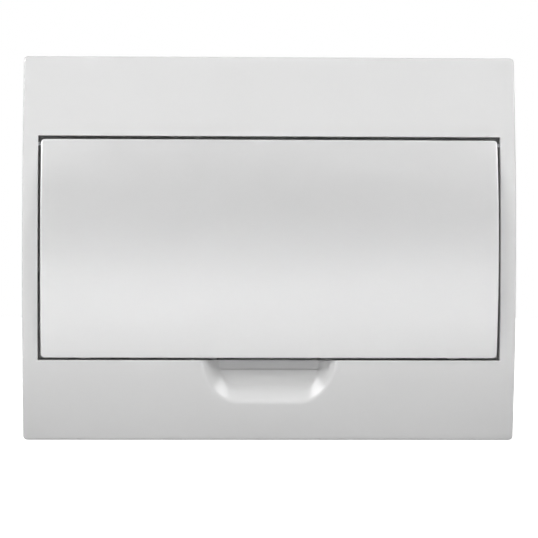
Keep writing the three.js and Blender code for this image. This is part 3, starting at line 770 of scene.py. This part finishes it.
def dress_cad_nodes():
    """Softened edges and a finish on every CAD piece that still shows."""
    slots = {s["node"]: s["material_slot"] for s in frame["record"]["subparts"]}
    for name, node in frame["nodes"].items():
        mesh = node.data
        mesh.materials.clear()
        mesh.materials.append(MATERIALS[slots[name]])
        if "custom_normal" in mesh.attributes:
            mesh.attributes.remove(mesh.attributes["custom_normal"])
        mesh.shade_smooth()
        weld = node.modifiers.new("weld", "WELD")
        weld.merge_threshold = WELD_DISTANCE * MM
        soften(node, SHEET_SOFT if name == "back_box" else PIECE_SOFT)


# ---- Studio ----

ROOM_SEEN = 1.0
ROOM_LIGHT = 0.1
FLOOR_SEEN = 1.0
FLOOR_HALF = 4.0
FLOOR_BELOW = 0.0005
FLOOR_GREYS = ((0.59, 0.59, 0.59), (0.61, 0.61, 0.61))
CAMERA = {"x": -52.0, "distance": 1646.0, "z": -13.4, "lens": 168.7, "roll": -0.15, "aim_x": 0.0}
BOX_MIDDLE = (0, WALL_Y * MM, 0)
LIGHTS = [  # name, place, what it points at, size, watts, spread in degrees
    ("left_key", (-1.4, -1.0, 1.2), BOX_MIDDLE, (0.9, 1.1), 26.5, 180),
    ("right_key", (1.4, -1.0, 1.2), BOX_MIDDLE, (0.9, 1.1), 21.0, 180),
    ("pool", (0, -0.7, 0.9), (0, -0.7, 0), (1.6, 0.7), 6.0, 45),
    ("rear", (-0.8, 1.8, 0.9), (0, 0, 0), (1.5, 1.2), 12, 180),
]


def make_camera():
    data = bpy.data.cameras.new("camera")
    data.lens = CAMERA["lens"]
    data.sensor_width = 36
    data.clip_end = 20
    camera = bpy.data.objects.new("camera", data)
    bpy.context.scene.collection.objects.link(camera)
    edge_y = WALL_Y - FRAME_EDGE
    camera.location = Vector((CAMERA["x"], edge_y - CAMERA["distance"], CAMERA["z"])) * MM
    yaw = math.atan((CAMERA["aim_x"] - CAMERA["x"]) / CAMERA["distance"])
    turn = Matrix.Rotation(-yaw, 3, "Z") @ Matrix.Rotation(math.pi / 2, 3, "X")
    turn = turn @ Matrix.Rotation(math.radians(-CAMERA["roll"]), 3, "Z")
    camera.rotation_euler = turn.to_euler()
    bpy.context.scene.camera = camera


def area_light(name, place, target, size, power, spread):
    data = bpy.data.lights.new(name, "AREA")
    data.shape = "RECTANGLE"
    data.size, data.size_y = size
    data.energy = power
    data.spread = math.radians(spread)
    light = bpy.data.objects.new(name, data)
    bpy.context.scene.collection.objects.link(light)
    light.location = place
    light.rotation_euler = (Vector(target) - Vector(place)).to_track_quat("-Z", "Y").to_euler()


def make_world():
    """A soft white room, which is seen as plain white but lights the object less."""
    world = bpy.data.worlds.new("studio")
    bpy.context.scene.world = world
    world.use_nodes = True
    tree = world.node_tree
    tree.nodes.clear()
    seen = tree.nodes.new("ShaderNodeBackground")
    seen.inputs["Color"].default_value = (1, 1, 1, 1)
    seen.inputs["Strength"].default_value = ROOM_SEEN
    room = tree.nodes.new("ShaderNodeBackground")
    room.inputs["Color"].default_value = (1, 1, 1, 1)
    room.inputs["Strength"].default_value = ROOM_LIGHT
    rays = tree.nodes.new("ShaderNodeLightPath")
    mix = tree.nodes.new("ShaderNodeMixShader")
    output = tree.nodes.new("ShaderNodeOutputWorld")
    tree.links.new(rays.outputs["Is Camera Ray"], mix.inputs["Fac"])
    tree.links.new(room.outputs["Background"], mix.inputs[1])
    tree.links.new(seen.outputs["Background"], mix.inputs[2])
    tree.links.new(mix.outputs["Shader"], output.inputs["Surface"])


def make_floor():
    """A pale floor, which is seen as plain white but lights the object less."""
    half = FLOOR_HALF
    z = cad_low.z - FLOOR_BELOW
    corners = [(-half, -half, z), (half, -half, z), (half, half, z), (-half, half, z)]
    floor = make_mesh("floor", corners, [(0, 1, 2, 3)])
    nodes = Nodes("floor")
    nodes.colour_between(nodes.noise(3), *FLOOR_GREYS)
    nodes.shader.inputs["Roughness"].default_value = 0.9
    seen = nodes.add("ShaderNodeEmission")
    seen.inputs["Strength"].default_value = FLOOR_SEEN
    both = nodes.add("ShaderNodeAddShader")
    nodes.link(nodes.shader.outputs["BSDF"], both.inputs[0])
    nodes.link(seen.outputs["Emission"], both.inputs[1])
    rays = nodes.add("ShaderNodeLightPath")
    mix = nodes.add("ShaderNodeMixShader")
    nodes.link(rays.outputs["Is Camera Ray"], mix.inputs["Fac"])
    nodes.link(nodes.shader.outputs["BSDF"], mix.inputs[1])
    nodes.link(both.outputs["Shader"], mix.inputs[2])
    output = nodes.tree.nodes["Material Output"]
    nodes.link(mix.outputs["Shader"], output.inputs["Surface"])
    floor.data.materials.append(nodes.material)


def make_studio():
    bpy.context.scene.view_settings.view_transform = "Standard"
    make_camera()
    make_world()
    make_floor()
    for light in LIGHTS:
        area_light(*light)


MATERIALS = make_materials()
dress_cad_nodes()
build_front_frame()
build_door()
make_studio()
